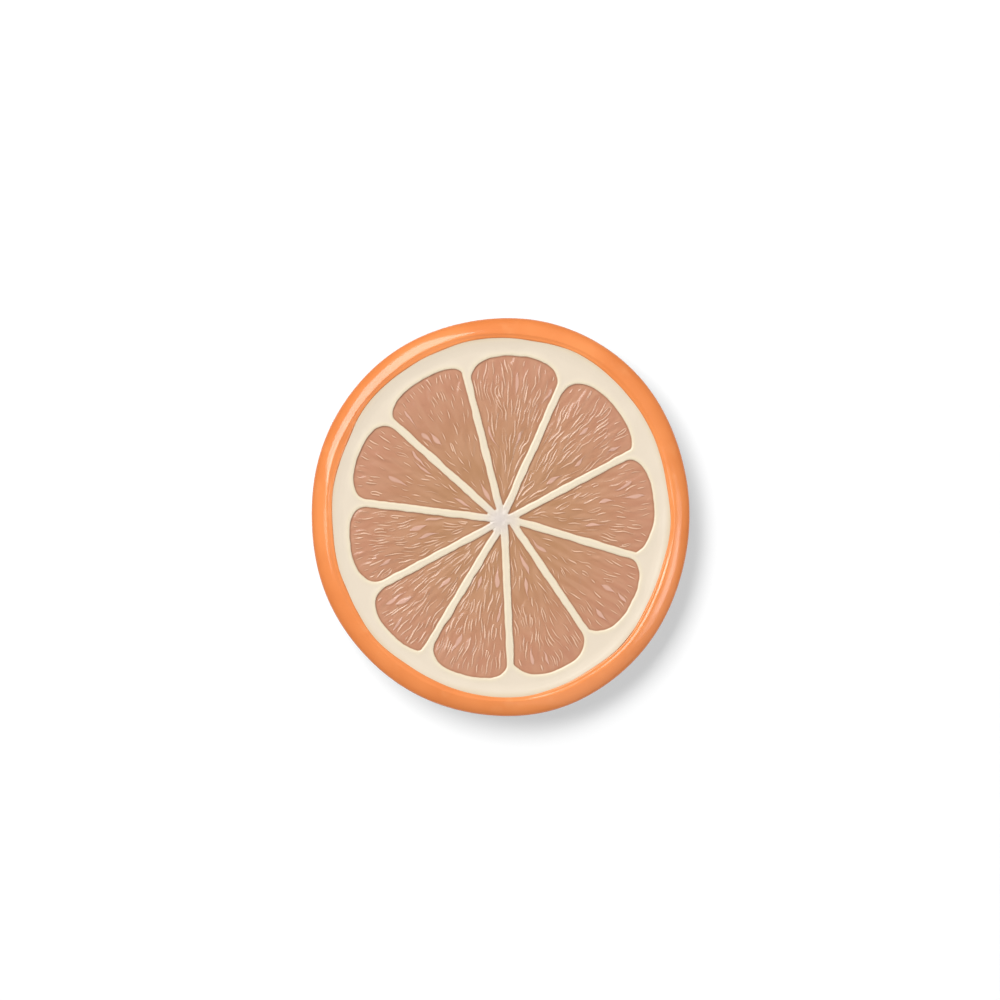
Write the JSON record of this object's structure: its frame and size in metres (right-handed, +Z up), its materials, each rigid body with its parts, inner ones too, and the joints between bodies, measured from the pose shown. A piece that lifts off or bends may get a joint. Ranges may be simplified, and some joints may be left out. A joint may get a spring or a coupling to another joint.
{
  "type": "orange slice",
  "caption": "Moulded glossy copy of a round orange slice with raised rind, pale pith, thin membranes and textured flesh segments; lies flat, both faces alike.",
  "frame": {"origin": "centre of the slice's outline, on the surface it lies on", "axes": "+Z up through the slice, from one face to the other; +Y along its longer side; +X along its shorter side"},
  "size_m": [0.076, 0.08, 0.008],
  "materials": {
    "rind": "gloss",
    "pith": "gloss",
    "flesh": "gloss"
  },
  "bodies": {
    "root": {"orange_slice": "rind"}
  },
  "joints": []
}
